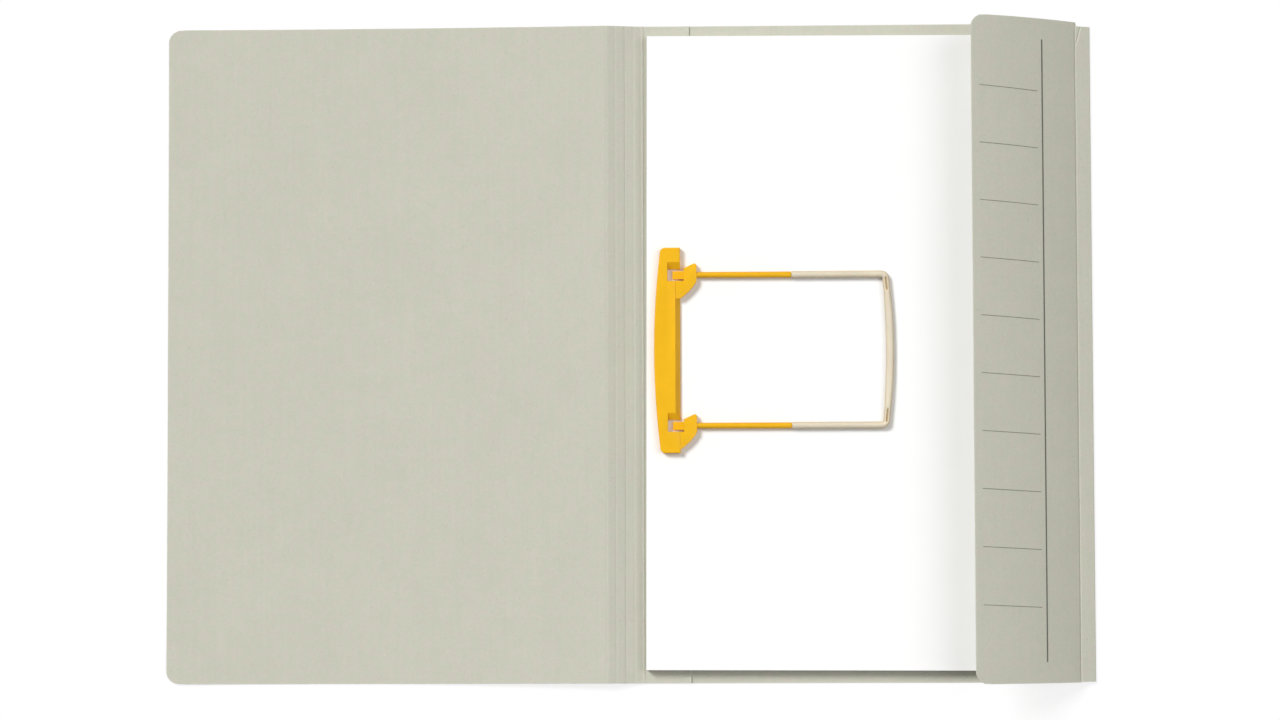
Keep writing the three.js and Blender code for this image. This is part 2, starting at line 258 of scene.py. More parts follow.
paperLook = {
    "colour": (0.942, 0.942, 0.938, 1),
    # The colour for the sheets' sides is a painted shade for the gaps between sheets.
    "sheetEdge": (0.70, 0.69, 0.66, 1),
    "roughness": 0.8,
    "specular": 0.2,
    "bump": 0.012 * mm,
    "sheetPitch": 0.1 * mm,
}


def paperMaterial(fibre):
    look = paperLook
    material, tree, shader = newMaterial("officePaper", {
        "Roughness": look["roughness"], "Specular IOR Level": look["specular"]})
    place = addNode(tree, "ShaderNodeTexCoord").outputs["Object"]
    grain = useGroup(tree, fibre, {"Cloud Scale": 60.0, "Cloud Amount": 0.012, "Grain Scale": 2200.0,
                                   "Grain Amount": 0.02, "Fleck Scale": 300.0, "Fleck Size": 0.04,
                                   "Fleck Share": 0.05})
    tree.links.new(place, grain.inputs["Position"])
    tone = addNode(tree, "ShaderNodeCombineColor")
    for socket in tone.inputs[:3]:
        tree.links.new(grain.outputs["Tone"], socket)
    colour = mixColour(tree, 1.0, look["colour"], tone.outputs[0], "MULTIPLY")
    # On the sides the sheets show as fine level lines of uneven tone: painted shade for the gaps between the
    # sheets, darker by a random amount for each sheet.
    split = addNode(tree, "ShaderNodeSeparateXYZ")
    tree.links.new(place, split.inputs[0])
    layer = math2(tree, "FLOOR", math2(tree, "DIVIDE", split.outputs[2], look["sheetPitch"]), 0.0)
    shade = addNode(tree, "ShaderNodeTexWhiteNoise", noise_dimensions="1D")
    tree.links.new(layer, shade.inputs["W"])
    side = addNode(tree, "ShaderNodeAttribute", attribute_name="side").outputs["Fac"]
    lines = math2(tree, "MULTIPLY", side, mapRange(tree, shade.outputs["Value"], 0.0, 1.0, 0.25, 1.0))
    colour = mixColour(tree, lines, colour, look["sheetEdge"])
    tree.links.new(colour, shader.inputs["Base Color"])
    tree.links.new(bumpFrom(tree, grain.outputs["Height"], look["bump"], 0.5), shader.inputs["Normal"])
    return material


# Moulded plastic: faint flow marks and a slightly uneven gloss

def buildMouldGroup():
    group, given, result = newGroup(
        "mouldedSkin",
        [("Position", "Vector", None), ("Skin Scale", "Float", 900.0), ("Flow Scale", "Float", 60.0),
         ("Gloss Spread", "Float", 0.08), ("Base Roughness", "Float", 0.35)],
        [("Tone", "Float"), ("Roughness", "Float"), ("Height", "Float")])
    link = group.links.new
    skin = addNode(group, "ShaderNodeTexNoise", {"Detail": 2.0})
    flow = addNode(group, "ShaderNodeTexNoise", {"Detail": 2.0, "Distortion": 0.6})
    for node, scale in ((skin, "Skin Scale"), (flow, "Flow Scale")):
        link(given["Position"], node.inputs["Vector"])
        link(given[scale], node.inputs["Scale"])
    link(mapRange(group, flow.outputs[0], 0.3, 0.7, 0.97, 1.03), result["Tone"])
    spread = math2(group, "MULTIPLY", math2(group, "SUBTRACT", flow.outputs[0], 0.5), given["Gloss Spread"])
    link(math2(group, "ADD", given["Base Roughness"], spread), result["Roughness"])
    link(skin.outputs[0], result["Height"])
    return group


def plasticMaterial(name, mould, look):
    material, tree, shader = newMaterial(name, {
        "Roughness": look["roughness"], "Specular IOR Level": look["specular"],
        "Subsurface Weight": look["scatter"], "Subsurface Scale": 1.5 * mm,
        "Coat Roughness": 0.2})
    place = addNode(tree, "ShaderNodeTexCoord").outputs["Object"]
    skin = useGroup(tree, mould, {"Skin Scale": 1100.0, "Flow Scale": 70.0, "Gloss Spread": 0.12,
                                  "Base Roughness": look["roughness"]})
    tree.links.new(place, skin.inputs["Position"])
    tone = addNode(tree, "ShaderNodeCombineColor")
    for socket in tone.inputs[:3]:
        tree.links.new(skin.outputs["Tone"], socket)
    # Painted shade: where the plastic turns away from the eye, and down in its grooves, its colour is deeper,
    # standing in for the shade on its rounded sides and in the grooves.
    facing = addNode(tree, "ShaderNodeLayerWeight", {"Blend": 0.42}).outputs["Facing"]
    groove = addNode(tree, "ShaderNodeAttribute", attribute_name="groove").outputs["Fac"]
    depth = math2(tree, "MAXIMUM", math2(tree, "MULTIPLY", facing, look["rimShare"], clamp=True), groove)
    colour = mixColour(tree, depth, look["colour"], look["rim"])
    colour = mixColour(tree, 1.0, colour, tone.outputs[0], "MULTIPLY")
    tree.links.new(colour, shader.inputs["Base Color"])
    tree.links.new(skin.outputs["Roughness"], shader.inputs["Roughness"])
    tree.links.new(bumpFrom(tree, skin.outputs["Height"], 0.01 * mm, 0.4), shader.inputs["Normal"])
    return material


# rim is the darker colour of the painted shade on the plastic's grazing sides and in its grooves, and the
# share after it is how strongly that shade shows at grazing angles.
yellowLook = {"colour": (0.85, 0.462, 0.004, 1), "rim": (0.60, 0.235, 0.006, 1), "rimShare": 0.75,
              "roughness": 0.36, "specular": 0.22, "scatter": 0.1}
creamLook = {"colour": (0.71, 0.635, 0.495, 1), "rim": (0.42, 0.28, 0.11, 1), "rimShare": 0.95,
             "roughness": 0.33, "specular": 0.4, "scatter": 0.15}

inkLook = {"strong": (0.12, 0.125, 0.105, 1), "faint": (0.285, 0.285, 0.235, 1),
           "roughness": 0.85, "specular": 0.15}


def inkMaterial(fibre):
    look = inkLook
    material, tree, shader = newMaterial("printedInk", {
        "Roughness": look["roughness"], "Specular IOR Level": look["specular"]})
    place = addNode(tree, "ShaderNodeTexCoord").outputs["Object"]
    grain = useGroup(tree, fibre, {"Cloud Scale": 120.0, "Cloud Amount": 0.5, "Grain Scale": 1500.0,
                                   "Grain Amount": 0.5, "Fleck Scale": 500.0, "Fleck Size": 0.1,
                                   "Fleck Share": 0.1})
    tree.links.new(place, grain.inputs["Position"])
    faint = addNode(tree, "ShaderNodeAttribute", attribute_name="faint").outputs["Fac"]
    worn = mapRange(tree, grain.outputs["Tone"], 0.85, 1.2, 0.0, 0.45)
    share = math2(tree, "MULTIPLY", faint, 0.75)
    share = math2(tree, "ADD", share, math2(tree, "MULTIPLY", worn, 0.5), clamp=True)
    tree.links.new(mixColour(tree, share, look["strong"], look["faint"]), shader.inputs["Base Color"])
    return material


# Mesh helpers

# A closed mesh from one point array and one face list, with its normals turned outwards
def finishPiece(name, points, faces, material, attributes, smooth):
    mesh = bpy.data.meshes.new(name)
    mesh.from_pydata(points.tolist(), [], faces)
    work = bmesh.new()
    work.from_mesh(mesh)
    bmesh.ops.recalc_face_normals(work, faces=work.faces)
    work.to_mesh(mesh)
    work.free()
    mesh.polygons.foreach_set("use_smooth", np.ones(len(mesh.polygons), bool))
    mesh.set_sharp_from_angle(angle=math.radians(smooth))
    for label, values in attributes.items():
        layer = mesh.attributes.new(label, "FLOAT", "POINT")
        layer.data.foreach_set("value", np.asarray(values, np.float32))
    piece = bpy.data.objects.new(name, mesh)
    bpy.context.scene.collection.objects.link(piece)
    piece.data.materials.append(material)
    return piece


# Four-sided faces of a grid of points, row after row. A closed grid joins its last column to its first.
def gridFaces(rows, columns, first=0, closed=False):
    index = first + np.arange(rows * columns).reshape(rows, columns)
    if closed:
        index = np.concatenate([index, index[:, :1]], axis=1)
    quads = np.stack([index[:-1, :-1], index[1:, :-1], index[1:, 1:], index[:-1, 1:]], axis=-1)
    return quads.reshape(-1, 4).tolist()


# Indices of a grid's border, once round
def perimeter(rows, columns):
    index = np.arange(rows * columns).reshape(rows, columns)
    return np.concatenate([index[:-1, 0], index[-1, :-1], index[:0:-1, -1], index[0, :0:-1]])


# Faces of a shell: the upper grid, the rings of its side, and the lower grid
def shellFaces(rows, columns, rings):
    size = rows * columns
    border = perimeter(rows, columns)
    loops = [border]
    loops += [2 * size + k * len(border) + np.arange(len(border)) for k in range(rings)]
    loops.append(size + border)
    faces = gridFaces(rows, columns) + gridFaces(rows, columns, size)
    for above, below in zip(loops[:-1], loops[1:]):
        nextAbove, nextBelow = np.roll(above, -1), np.roll(below, -1)
        faces += np.stack([above, below, nextBelow, nextAbove], axis=-1).tolist()
    return faces


# Points lie at these distances from a sheet's edge, so that its rounded rim shades well.
edgeSteps = np.array([0.0, 0.12, 0.3, 0.6, 1.2, 2.5]) * mm


# Places along a length: coarse steps all over, fine ones near each mark and at both ends
def stations(low, high, marks, coarse, fine, reach):
    steps = [np.linspace(low, high, int((high - low) / coarse) + 2)]
    near = np.arange(-reach, reach + fine / 2, fine)
    steps += [mark + near for mark in marks]
    steps += [low + edgeSteps, high - edgeSteps]
    together = np.unique(np.round(np.concatenate(steps), 7))
    together = together[(together >= low) & (together <= high)]
    keep = np.concatenate([[True], np.diff(together) > fine * 0.4])
    keep[-1] = True
    return together[keep]


# X, Z and heading at each place along a bent sheet's inner face. The heading turns evenly over each bend,
# and the place is the running sum of the heading's cosine and sine, shifted to go through the anchor.
def bentPath(along, bends, anchorAt, anchor):
    dense = np.arange(0.0, max(along[-1], anchorAt) + 0.05 * mm, 0.02 * mm)
    heading = np.zeros_like(dense)
    for start, end, turn in bends:
        heading += np.radians(turn) * np.clip((dense - start) / (end - start), 0, 1)
    x = np.concatenate([[0], np.cumsum(np.cos(heading[:-1]) * np.diff(dense))])
    z = np.concatenate([[0], np.cumsum(np.sin(heading[:-1]) * np.diff(dense))])
    x += anchor[0] - np.interp(anchorAt, dense, x)
    z += anchor[2] - np.interp(anchorAt, dense, z)
    return np.interp(along, dense, x), np.interp(along, dense, z), np.interp(along, dense, heading)


# Depth of the pressed creases: each is a bell-shaped groove across the sheet, and a ridge if it is negative.
def creaseDip(along, creases, width):
    dip = np.zeros_like(along)
    for at, depth in creases:
        dip += depth * np.exp(-((along - at) / width) ** 2)
    return dip


# How much a rounded corner takes off the half height, by distance from the end edge
def roundedEnd(distance, radius):
    inside = np.clip(radius - distance, 0, radius)
    return radius - np.sqrt(np.maximum(radius ** 2 - inside ** 2, 0))


sheetSpec = {"columns": 73, "edgeBulge": 0.1 * mm, "rimReach": 0.25 * mm}


# A board sheet: the inner face lies on the path, the outer one a board's thickness behind it. A point is the
# path's place, plus lift less groove times the face's normal, and its Y runs from minus the lower half height
# to the upper one there. The cut edges bulge a little at half thickness, but not where the sheet goes on.
def sheetPiece(name, material, path, halves, lift, openEnds, masks, moreShares=()):
    along, x, z, heading, groove = path
    share = np.linspace(-1, 1, sheetSpec["columns"])
    ends = edgeSteps / halfBoard
    share = np.unique(np.round(np.concatenate([share, -1 + ends, 1 - ends, moreShares]), 6))
    normal = np.stack([-np.sin(heading), np.cos(heading)], axis=1)
    lower, upper = halves
    y = np.where(share[None, :] < 0, share[None, :] * lower[:, None], share[None, :] * upper[:, None])
    raised = lift(along[:, None], y) - groove[:, None]
    inner = np.stack([x[:, None] + normal[:, :1] * raised, y, z[:, None] + normal[:, 1:] * raised], axis=-1)
    back = np.stack([normal[:, 0], np.zeros(len(along)), normal[:, 1]], axis=1)[:, None, :]
    outer = inner - back * boardThickness
    away = np.zeros_like(inner)
    if "low" not in openEnds:
        away[0] += unit(inner[0] - inner[1])
    if "high" not in openEnds:
        away[-1] += unit(inner[-1] - inner[-2])
    away[:, 0, 1] -= 1
    away[:, -1, 1] += 1
    border = perimeter(*inner.shape[:2])
    middle = ((inner + outer) / 2 + sheetSpec["edgeBulge"] * away).reshape(-1, 3)[border]
    points = np.concatenate([inner.reshape(-1, 3), outer.reshape(-1, 3), middle])
    edge = np.minimum(np.minimum(upper[:, None] - y, y + lower[:, None]), 1.0)
    if "low" not in openEnds:
        edge = np.minimum(edge, (along - along[0])[:, None])
    if "high" not in openEnds:
        edge = np.minimum(edge, (along[-1] - along)[:, None])
    rim = np.exp(-edge / sheetSpec["rimReach"]).ravel()
    crease = np.broadcast_to(masks[:, None], y.shape).ravel()
    attributes = {"cutEdge": np.concatenate([rim, rim, np.ones(len(border))]),
                  "crease": np.concatenate([crease, crease, crease[border]])}
    faces = shellFaces(*inner.shape[:2], 1)
    return finishPiece(name, points, faces, material, attributes, 50.0)


def unit(vectors):
    return vectors / np.maximum(np.linalg.norm(vectors, axis=-1, keepdims=True), 1e-12)


# Front board: cover, spine and glue strip

frontBoard = {
    "cornerRadius": 7 * mm,
    "archLength": 150 * mm,
    "foldArc": 1.6 * mm,
    "creaseDepths": [0.12 * mm, 0.1 * mm, 0.1 * mm, 0.1 * mm, -0.36 * mm],
    "creaseWidth": 0.55 * mm,
    "panelExtraLean": [0.2, 0.0, 0.0, -0.6],    # degrees
    "waviness": 0.35 * mm,
    "waves": (31, 23),                          # radians a metre, across and along the fold
    "calmReach": 60 * mm,
    "cornerLift": 1.1 * mm,
    "cornerReach": 70 * mm,
    "stripLift": 0.7 * mm,                      # where the strip shows past the paper's corners
    "stripFreeFrom": 169.5 * mm,
    "stripFreeRun": 3 * mm,
    "blendReach": 1.2 * mm,
}


def buildFrontBoard(material):
    spec = frontBoard
    coverWidth = coverFold[0] - coverLow[0]
    spineVector = coverFold - spineFold
    spineWidth = float(np.hypot(spineVector[0], spineVector[2]))
    spineLean = math.degrees(math.atan2(spineVector[2], -spineVector[0]))
    rise = coverFold[2] - boardThickness
    coverLean = math.degrees(math.atan(2 * rise / spec["archLength"]))
    stripWidth = stripHigh[0] - spineFold[0]
    foldOne = coverWidth
    foldTwo = coverWidth + spineWidth
    total = foldTwo + stripWidth
    arc = spec["foldArc"]
    leans = [spineLean + extra for extra in spec["panelExtraLean"]]
    creaseAt = [foldOne + spineWidth * k / len(leans) for k in range(len(leans) + 1)]
    turns = np.diff([-coverLean] + leans + [0.0])
    bends = [(coverWidth - spec["archLength"], coverWidth, coverLean)]
    bends += [(at - arc / 2, at + arc / 2, -turn) for at, turn in zip(creaseAt, turns)]
    depths = spec["creaseDepths"]

    # Slow waves and raised outer corners, which both fade out before the fold, and the strip's free corners
    def lift(along, y):
        calm = np.clip((coverWidth - along) / spec["calmReach"], 0, 1) ** 2
        wave = 0.5 + 0.5 * np.sin(along * spec["waves"][0] + 0.8) * np.sin(y * spec["waves"][1] + 0.5)
        corner = np.clip(1 - along / spec["cornerReach"], 0, 1) ** 2 * (np.abs(y) / halfBoard) ** 4
        run = spec["stripFreeRun"]
        free = np.clip((along - total + run) / run, 0, 1)
        free = free * np.clip((np.abs(y) - spec["stripFreeFrom"]) / run, 0, 1)
        return (spec["waviness"] * wave + spec["cornerLift"] * corner) * calm + spec["stripLift"] * free

    seam = (creaseAt[1] + creaseAt[3]) / 2
    spans = {"front_board_cover": (0.0, seam, {"high"}), "front_board_strip": (seam, total, {"low"})}
    pieces = {}
    for name, (low, high, openEnds) in spans.items():
        marks = [at for at in creaseAt if low - mm < at < high + mm]
        along = stations(low, high, marks, 5 * mm, 0.2 * mm, 2.2 * mm)
        x, z, heading = bentPath(along, bends, foldTwo, spineFold)
        groove = creaseDip(along, zip(creaseAt, depths), spec["creaseWidth"])
        mask = creaseDip(along, [(at, 1.0) for at in creaseAt], spec["creaseWidth"])
        half = halfBoard - roundedEnd(along, spec["cornerRadius"])
        path = (along, x, z, heading, groove)
        pieces[name] = sheetPiece(name, material, path, (half, half), lift, openEnds, np.clip(mask, 0, 1))
    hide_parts("front_cover")
    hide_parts("glue_strip", "spine")
    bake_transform(pieces["front_board_cover"])
    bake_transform(pieces["front_board_strip"])
    print("front board done")


# Back board: back cover, gusset and flap, folded back over the paper

backBoard = {
    "gussetWidth": 8.6 * mm,
    "gussetLean": 21.0,
    "gussetRelief": 2.1 * mm,
    "reliefRun": 0.5 * mm,
    "lowerShare": 0.15,
    "taperLength": 62 * mm,
    "flapWidth": 66.8 * mm,
    "flapLeanAtFold": 40.0,
    "flapLeanAtEdge": 21.0,
    "cornerRadius": 7 * mm,
    "foldArc": 0.8 * mm,
    "creaseArc": 1.0 * mm,
    "creaseDepth": -0.42 * mm,
    "creaseWidth": 0.45 * mm,
    "blendReach": 0.25 * mm,
    "flapBow": 0.6 * mm,
    "markFrom": (3.4 * mm, 2.6 * mm),           # before the flap's crease, and below the upper end
    "markRun": (2.9 * mm, -9.6 * mm),
    "markDepth": 0.3 * mm,
    "markWidth": 0.45 * mm,
}

# Ruled lines printed on the flap: a long one beside the fold, and short ones from it to the free edge
rules = {
    "longFromFold": 23.4 * mm,
    "longWidth": 0.82 * mm,
    "longMargin": 11 * mm,
    "longPieces": 30,
    "shortWidth": 0.42 * mm,
    "shortPitch": 30.2 * mm,
    "shortCount": 10,
    "shortShift": 1.2 * mm,
    "shortGap": 3.2 * mm,
    "shortTilt": 1.5 * mm,
    "edgeMargin": 4.6 * mm,
    "float": 0.02 * mm,
    "depth": 0.02 * mm,
    "steps": 14,
}


# The path of the back board: flat, up into the gusset, and back over the paper along a curved flap
def backPath(along):
    spec = backBoard
    foldAt = flapFold[0] - backLow[0]
    creaseAt = foldAt + spec["gussetWidth"]
    arc, soft = spec["foldArc"], spec["creaseArc"]
    gussetHeading = 180 - spec["gussetLean"]
    flapHeading = 180 - spec["flapLeanAtFold"]
    flapTurn = spec["flapLeanAtFold"] - spec["flapLeanAtEdge"]
    bends = [(foldAt - arc / 2, foldAt + arc / 2, gussetHeading),
             (creaseAt - soft / 2, creaseAt + soft / 2, flapHeading - gussetHeading),
             (creaseAt + soft / 2, creaseAt + spec["flapWidth"], flapTurn)]
    x, z, heading = bentPath(along, bends, foldAt - 10 * mm, flapFold - np.array([10 * mm, 0, 0]))
    creases = [(creaseAt, spec["creaseDepth"])]
    return x, z, heading, creaseDip(along, creases, spec["creaseWidth"])


def buildBackBoard(material):
    spec = backBoard
    foldAt = flapFold[0] - backLow[0]
    creaseAt = foldAt + spec["gussetWidth"]
    total = creaseAt + spec["flapWidth"]
    along = stations(0.0, total, [foldAt, creaseAt, creaseAt - 3 * mm], 5 * mm, 0.1 * mm, 1.6 * mm)
    x, z, heading, groove = backPath(along)
    taper = np.clip((along - foldAt + spec["taperLength"]) / spec["taperLength"], 0, 1)
    gusset = taper * np.clip((creaseAt - spec["reliefRun"] - along) / spec["reliefRun"], 0, 1)
    corner = roundedEnd(total - along, spec["cornerRadius"])
    upper = halfBoard - spec["gussetRelief"] * gusset - corner
    lower = halfBoard - spec["gussetRelief"] * spec["lowerShare"] * gusset - corner
    mask = np.clip(creaseDip(along, [(foldAt, 1.0)], 0.5 * mm), 0, 1)
    markStart = np.array([creaseAt - spec["markFrom"][0], halfBoard - spec["markFrom"][1]])
    markRun = np.array(spec["markRun"])

    # The flap bows outwards towards its free edge, and a short slanting fold mark crosses the gusset's
    # upper end: a ridge whose height falls off with the distance from the mark's own line.
    def lift(along, y):
        out = np.clip((along - creaseAt) / spec["flapWidth"], 0, 1) ** 2
        beside = (along - markStart[0]) * markRun[0] + (y - markStart[1]) * markRun[1]
        share = np.clip(beside / (markRun @ markRun), 0, 1)
        away = np.hypot(along - markStart[0] - share * markRun[0], y - markStart[1] - share * markRun[1])
        mark = spec["markDepth"] * np.exp(-(away / spec["markWidth"]) ** 2)
        return mark - spec["flapBow"] * out

    path = (along, x, z, heading, groove)
    # More columns of points where the fold mark lies
    nearEnd = np.arange(halfBoard - 15 * mm, halfBoard - 1.5 * mm, 0.4 * mm) / halfBoard
    piece = sheetPiece("back_board_sheet", material, path, (lower, upper), lift, set(), mask, nearEnd)
    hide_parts("back_cover", "flap")
    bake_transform(piece)
    print("back board done")
    return creaseAt, total


# Each rule is a thin closed strip that lies on the flap's outer face and follows its curve: its points are
# the path's places, moved out by the board's thickness, the crease, the bow and the strip's own height.
def buildRules(material, creaseAt, total):
    spec = rules
    points, faces, faint = [], [], []

    def strip(alongLow, alongHigh, yLow, yHigh, tilt, strength):
        along = np.linspace(alongLow, alongHigh, spec["steps"])
        drift = tilt * np.linspace(-0.5, 0.5, len(along))
        x, z, heading, groove = backPath(along)
        normal = np.stack([np.sin(heading), -np.cos(heading)], axis=1)
        bow = backBoard["flapBow"] * np.clip((along - creaseAt) / backBoard["flapWidth"], 0, 1) ** 2
        base = np.stack([x, z], axis=1) + normal * (boardThickness + groove + bow)[:, None]
        upper = base + normal * (spec["float"] + spec["depth"])
        lower = base + normal * 0.2 * spec["float"]
        ring = [(upper, yLow), (upper, yHigh), (lower, yHigh), (lower, yLow)]
        rows = np.stack([np.stack([side[:, 0], y + drift, side[:, 1]], axis=1) for side, y in ring], axis=1)
        first = sum(len(p) for p in points)
        points.append(rows.reshape(-1, 3))
        faint.append(np.full(4 * len(along), 1.0 - strength))
        faces.extend(gridFaces(len(along), 4, first, closed=True))
        last = first + 4 * (len(along) - 1)
        faces.append([first, first + 1, first + 2, first + 3])
        faces.append([last + 3, last + 2, last + 1, last])

    longAt = creaseAt + spec["longFromFold"]
    reach = halfBoard - spec["longMargin"]
    cuts = np.linspace(-reach, reach, spec["longPieces"] + 1)
    for yLow, yHigh in zip(cuts[:-1], cuts[1:]):
        strip(longAt - spec["longWidth"] / 2, longAt + spec["longWidth"] / 2, yLow, yHigh, 0.0, 1.0)
    middle = (spec["shortCount"] - 1) / 2
    halfWidth = spec["shortWidth"] / 2
    shortEnds = (longAt + spec["shortGap"], total - spec["edgeMargin"])
    for k in range(spec["shortCount"]):
        y = spec["shortShift"] + (k - middle) * spec["shortPitch"]
        strip(*shortEnds, y - halfWidth, y + halfWidth, spec["shortTilt"], 0.0)
    piece = finishPiece("printed_rules", np.concatenate(points), faces, material,
                        {"faint": np.concatenate(faint)}, 30.0)
    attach(piece, "flap")
    print("printed rules done")


# Paper

paperStack = {
    "layers": 34,
    "layerTop": 0.02,                           # shares of a layer's height
    "layerFoot": 0.86,
    "unevenness": 0.32 * mm,
    "grid": (37, 53),
    "seed": 11,
    "stripRun": 3.4 * mm,
    "turn": -0.22,                              # degrees
    "trim": 1.0 * mm,
    "leftTrim": 0.6 * mm,
}


# A pile of sheets: every layer's outline is pulled in by its own small amounts on the four sides. A point of
# the side is that outline's place, at its layer's share of the height between the board and the top.
def buildPaper(material):
    spec = paperStack
    rng = np.random.default_rng(spec["seed"])
    u, v = (np.linspace(0, 1, count) for count in spec["grid"])
    border = perimeter(len(u), len(v))

    def floorHeight(x):
        run = np.clip((x - stripHigh[0]) / spec["stripRun"], 0, 1)
        return stripHigh[2] - (stripHigh[2] - stripLow[2]) * run

    def outline(pulls):
        left = stackLow[0] + spec["leftTrim"] + pulls[0]
        x = left + u * (stackHigh[0] - left - pulls[1])
        low = stackLow[1] + spec["trim"] + pulls[2]
        y = low + v * (stackHigh[1] - low - pulls[3])
        flat = np.stack(np.meshgrid(x, y, indexing="ij"), axis=-1)
        middle = np.array([stackLow[0], 0.0])
        cos, sin = math.cos(math.radians(spec["turn"])), math.sin(math.radians(spec["turn"]))
        return (flat - middle) @ np.array([[cos, sin], [-sin, cos]]) + middle

    def level(flat, share):
        low = floorHeight(flat[..., 0])
        return np.concatenate([flat, (low + (stackHigh[2] - low) * share)[..., None]], axis=-1)

    pulls = spec["unevenness"] * rng.random((spec["layers"], 4)) ** 1.6
    pulls[0] = 0.1 * spec["unevenness"]
    top = level(outline(pulls[0]), 1.0)
    bottom = level(outline(pulls[-1]), 0.0)
    rings = []
    for k in range(spec["layers"]):
        flat = outline(pulls[k]).reshape(-1, 2)[border]
        high = 1.0 - (k + spec["layerTop"]) / spec["layers"]
        low = 1.0 - (k + spec["layerFoot"]) / spec["layers"]
        rings += [level(flat, high), level(flat, low)]
    points = np.concatenate([top.reshape(-1, 3), bottom.reshape(-1, 3), *rings])
    side = np.concatenate([np.zeros(2 * top.shape[0] * top.shape[1]), np.ones(len(rings) * len(border))])
    faces = shellFaces(len(u), len(v), len(rings))
    piece = finishPiece("paper_sheets", points, faces, material, {"side": side}, 25.0)
    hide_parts("paper_stack")
    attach(piece, "back_board")
    print("paper done")


# Clip bar: the moulding keeps its solid's shape, with its edges rounded

barSpec = {"edgeRound": 0.5 * mm, "flatAngle": 1.0, "edgeAngle": 28.0, "broadFace": 0.6 * mm}


def buildClipBar(material):
    spec = barSpec
    source = frame["nodes"]["clip_bar"]
    mesh = source.data.copy()
    mesh.name = "clip_bar_moulding"
    work = bmesh.new()
    work.from_mesh(mesh)
    bmesh.ops.remove_doubles(work, verts=work.verts, dist=0.002 * mm)
    flat = math.radians(spec["flatAngle"])
    bmesh.ops.dissolve_limit(work, angle_limit=flat, verts=work.verts, edges=work.edges)
    # Broad faces that meet at a slight angle stay flat; the rounded edges and the pins are smooth.
    broad = {face for face in work.faces if face.calc_area() > spec["broadFace"] * face.calc_perimeter()}
    for edge in work.edges:
        turned = edge.calc_face_angle(math.pi)
        rounded = turned > math.radians(spec["edgeAngle"])
        edge.smooth = rounded or turned < flat * 5 or not broad & set(edge.link_faces)
    work.to_mesh(mesh)
    work.free()
    mesh.materials.clear()
    piece = bpy.data.objects.new("clip_bar_moulding", mesh)
    bpy.context.scene.collection.objects.link(piece)
    piece.data.materials.append(material)
    bevel = piece.modifiers.new("edges", "BEVEL")
    bevel.width = spec["edgeRound"]
    bevel.segments = 3
    bevel.limit_method = "ANGLE"
    bevel.angle_limit = math.radians(spec["edgeAngle"])
    bevel.harden_normals = True
    mesh.polygons.foreach_set("use_smooth", np.ones(len(mesh.polygons), bool))
    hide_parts("clip_bar")
    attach(piece, "back_board")
    print("clip bar done")


# Clip bow: a tube carried along its path, widening into a flat blade across the end

bowSpec = {
    "radius": 1.85 * mm,
    "boreRadius": 1.25 * mm,
    "boreDepth": 46.6 * mm,
    "cornerSize": 2.8 * mm,
    "bulge": 2.0 * mm,
    "bladeHalfWidth": 2.1 * mm,
    "bladeHalfHeight": 1.5 * mm,
    "bladeRun": 14 * mm,
    "endRoom": 0.6 * mm,
    "lipReach": 0.35 * mm,
    "lipDepth": 0.22 * mm,
    "grooveLength": 8 * mm,
    "grooveHalfWidth": 0.5 * mm,
    "grooveDepth": 0.9 * mm,
    "sides": 40,
    "steps": {"leg": 90, "corner": 26, "blade": 180, "bore": 12},
}


# Points along the middle of the tube: straight, round a corner, over the bowed bar, and back
def bowCentreLine(spec):
    mouth, axisZ = bowLow[0], (bowLow[2] + bowHigh[2]) / 2
    highY, lowY = bowHigh[1] - spec["radius"], bowLow[1] + spec["radius"]
    across = bowHigh[0] - spec["endRoom"] - spec["bulge"] - spec["bladeHalfWidth"]
    size = spec["cornerSize"]

    def quadratic(a, b, c, count):
        t = np.linspace(0, 1, count)[:, None]
        return (1 - t) ** 2 * np.array(a) + 2 * t * (1 - t) * np.array(b) + t ** 2 * np.array(c)

    steps = spec["steps"]
    pulled = (across + 2 * spec["bulge"], (highY + lowY) / 2)
    legs = [np.linspace((mouth, highY), (across - size, highY), steps["leg"])[:-1],
            quadratic((across - size, highY), (across, highY), (across, highY - size), steps["corner"])[:-1],
            quadratic((across, highY - size), pulled, (across, lowY + size), steps["blade"])[:-1],
            quadratic((across, lowY + size), (across, lowY), (across - size, lowY), steps["corner"])[:-1],
            np.linspace((across - size, lowY), (mouth, lowY), steps["leg"])]
    flat = np.concatenate(legs)
    return np.concatenate([flat, np.full((len(flat), 1), axisZ)], axis=1)


